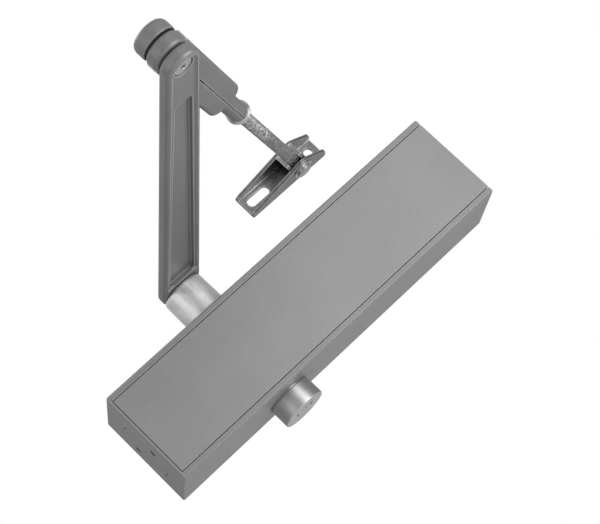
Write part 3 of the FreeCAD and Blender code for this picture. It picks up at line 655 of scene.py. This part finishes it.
def stand_for(piece, node):
    """The piece rides where the CAD node does and replaces it."""
    body = next(name for name, names in RECORD["behaviour"]["bodies"].items() if node in names)
    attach(piece, body)
    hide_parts(node)


def half_width(node):
    """Radius of a round node whose axis is parallel to Z."""
    low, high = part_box(node)
    return (high.x - low.x) / 2


# ---------------------------------------------------------------- pieces

def spindle_cap_piece(material):
    """Turned cup with a rounded rim, a shallow face and four tool notches."""
    low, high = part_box("spindle_cap")
    radius = half_width("spindle_cap")
    inner = radius - CAP_WALL
    floor = low.z + CAP_FLOOR
    face = low.z + CAP_FACE_DEPTH
    corners = [
        (0.0, face), (radius - CAP_FACE_RIM, face), (radius - CAP_LAND, low.z),
        (radius, low.z), (radius, high.z - CAP_LIP), (radius - CAP_LIP, high.z),
        (inner, high.z), (inner, floor), (0.0, floor),
    ]
    outline = round_corners(corners, CAP_ROUNDING, FINE_CORNER)
    cap = revolve("spindle_cap_turned", outline, upright(SPINDLE), material, FINE_ROUND)
    notches = []
    for offset, width in CAP_NOTCHES:
        centre = Vector((SPINDLE.x + offset * MM, SPINDLE.y, face))
        notches.append((centre, Vector((NOTCH_LENGTH, width * MM, NOTCH_DEPTH))))
    carve(cap, notches)
    stand_for(cap, "spindle_cap")


def elbow_knob(material):
    """Capped nut with a straight side and a domed crown."""
    low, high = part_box("elbow_cap")
    radius = half_width("elbow_cap")
    top_of_bore = low.z + KNOB_BORE_DEPTH
    corners = [
        (KNOB_BORE, top_of_bore), (KNOB_BORE, low.z), (radius - KNOB_FOOT_INSET, low.z),
        (radius, low.z + KNOB_FOOT), (radius, high.z - KNOB_CROWN),
        (radius - KNOB_SHOULDER, high.z - KNOB_SHOULDER),
        (radius - KNOB_DOME_INSET, high.z - KNOB_DOME_DROP), (0.0, high.z),
    ]
    outline = [(0.0, top_of_bore)] + round_corners(corners, KNOB_ROUNDING, FINE_CORNER)
    knob = revolve("elbow_knob", outline, upright(ELBOW), material, FINE_ROUND)
    stand_for(knob, "elbow_cap")


def hub_wobble(angle, height):
    """Slow unevenness of a cast and tumbled surface."""
    wave = 1 + math.sin(3 * angle + HUB_WAVE * height)
    return 1.0 - HUB_UNEVENNESS * wave * math.sin(2 * angle + 1.0) ** 2


def hub_casting(material):
    """Cast boss under the main arm: drafted side, rounded shoulder, thin foot ring."""
    low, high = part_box("arm_hub")
    radius = half_width("arm_hub")
    foot = low.z + HUB_SIDE_START
    height = high.z - HUB_TOP_DROP - foot
    side = [(radius - HUB_FOOT_INSET, low.z + HUB_FOOT_TOP)]
    for step in range(HUB_SIDE_STEPS + 1):
        share = step / HUB_SIDE_STEPS
        side.append((radius - HUB_DRAFT * share, foot + height * share))
    bottom = [(HUB_BORE, low.z), (radius, low.z), (radius, low.z + HUB_FOOT)]
    top = [
        (radius - HUB_SHOULDER, high.z - HUB_SHOULDER), (radius - HUB_FACE_INSET, high.z),
        (HUB_BORE, high.z),
    ]
    outline = round_corners(bottom + side + top, HUB_ROUNDING, COARSE_CORNER)
    hub = revolve(
        "hub_casting", outline, upright(SPINDLE), material, HUB_SEGMENTS, hub_wobble, True
    )
    stand_for(hub, "arm_hub")


def sleeve_lip(material):
    """Thin flared lip pressed round the mouth of the sleeve's tube."""
    bore = ROD_RADIUS + LIP_CLEARANCE
    flare = [(radius * MM, height * MM) for radius, height in LIP_FLARE]
    outline = [(bore, 0.0)] + flare + [(bore, LIP_BORE_LENGTH)]
    lip = revolve("sleeve_lip", outline, along_rod(TUBE_END), material, LIP_SEGMENTS, None, True)
    stand_for(lip, "sleeve_collar")


def unevenness(distance, angle):
    """Share of the rod's radius left under its lumpy zinc."""
    lump = math.sin(5 * angle + 900 * distance) * math.sin(1700 * distance + 2 * angle)
    return 1.0 - ROD_LUMPS * (1 + lump * math.sin(430 * distance - 3 * angle))


def clamped(value):
    return min(1.0, max(0.0, value))


def rod_radius(distance, angle):
    """Threaded near the elbow, then a lumpy bare shank, then squared between the strap's legs."""
    turns = distance / THREAD_PITCH - angle / (2 * math.pi)
    ridge = 2 * abs(turns - math.floor(turns) - 0.5)
    fade = clamped((THREAD_END - distance) / THREAD_FADE)
    round_part = ROD_RADIUS * unevenness(distance, angle) - THREAD_DEPTH * fade * (1 - ridge)
    square = clamped((distance - SQUARE_START) / SQUARE_BLEND)
    reach = max(abs(math.cos(angle)), abs(math.sin(angle)))
    flat = min(TONGUE_HALF / reach, TONGUE_HALF * TONGUE_CORNER)
    return round_part * (1 - square) + flat * square


def threaded_rod(material):
    """Adjusting rod with a helical thread, as far as the tongue inside the strap."""
    builder = bmesh.new()
    start, end = ROD_START, TONGUE_END
    count = int((end - start) / (THREAD_PITCH / STATIONS_PER_TURN))
    place = along_rod(0.0)
    rings = []
    for index in range(count + 1):
        distance = start + (end - start) * index / count
        ring = []
        for step in range(ROD_SEGMENTS):
            angle = 2 * math.pi * step / ROD_SEGMENTS
            radius = rod_radius(distance, angle)
            point = Vector((radius * math.cos(angle), radius * math.sin(angle), distance))
            ring.append(builder.verts.new(place @ point))
        rings.append(ring)
    rings.insert(0, [builder.verts.new(place @ Vector((0, 0, start)))])
    rings.append([builder.verts.new(place @ Vector((0, 0, end)))])
    rod = skin_rings("threaded_rod", builder, rings, material, SWEPT_SHARP)
    stand_for(rod, "adjusting_rod")


def closing_coil(material):
    """Coil of the closing spring at one fixed length; the real spring shortens towards its seat
    as the piston moves.
    """
    low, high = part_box("closing_spring")
    wire = SPRING_WIRE_RADIUS
    mean = (high.z - low.z) / 2 - wire
    centre = Vector((0.0, (low.y + high.y) / 2, (low.z + high.z) / 2))
    length = high.x - low.x
    stations = SPRING_TURNS * SPRING_STATIONS
    builder = bmesh.new()
    rings = []
    for index in range(stations + 1):
        share = index / stations
        turn = 2 * math.pi * SPRING_TURNS * share
        outward = Vector((0.0, math.cos(turn), math.sin(turn)))
        along = low.x + wire + (length - 2 * wire) * share
        middle = centre + outward * mean + Vector((along, 0.0, 0.0))
        ring = []
        for step in range(WIRE_SEGMENTS):
            angle = 2 * math.pi * step / WIRE_SEGMENTS
            offset = outward * math.cos(angle) + Vector((math.sin(angle), 0.0, 0.0))
            ring.append(builder.verts.new(middle + offset * wire))
        if index == 0:
            rings.append([builder.verts.new(middle)])
        rings.append(ring)
    rings.append([builder.verts.new(middle)])
    coil = skin_rings("closing_coil", builder, rings, material, SWEPT_SHARP)
    stand_for(coil, "closing_spring")
    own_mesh(coil)


# ---------------------------------------------------------------- the object

RIGHT, UP, FORWARD = add_camera()
add_world()
add_floor()
for name, (right, up, forward), distance, size, power in LIGHTS:
    add_area_light(name, RIGHT * right + UP * up + FORWARD * forward, distance, size, power)

bpy.context.scene.view_settings.view_transform = "Standard"
MATERIALS = slot_materials()
finish_cad_nodes(MATERIALS)
spindle_cap_piece(MATERIALS["satin_metal"])
hub_casting(MATERIALS["cast_metal"])
elbow_knob(MATERIALS["arm_paint"])
sleeve_lip(MATERIALS["zinc_steel"])
threaded_rod(MATERIALS["galvanised_steel"])
closing_coil(MATERIALS["spring_steel"])
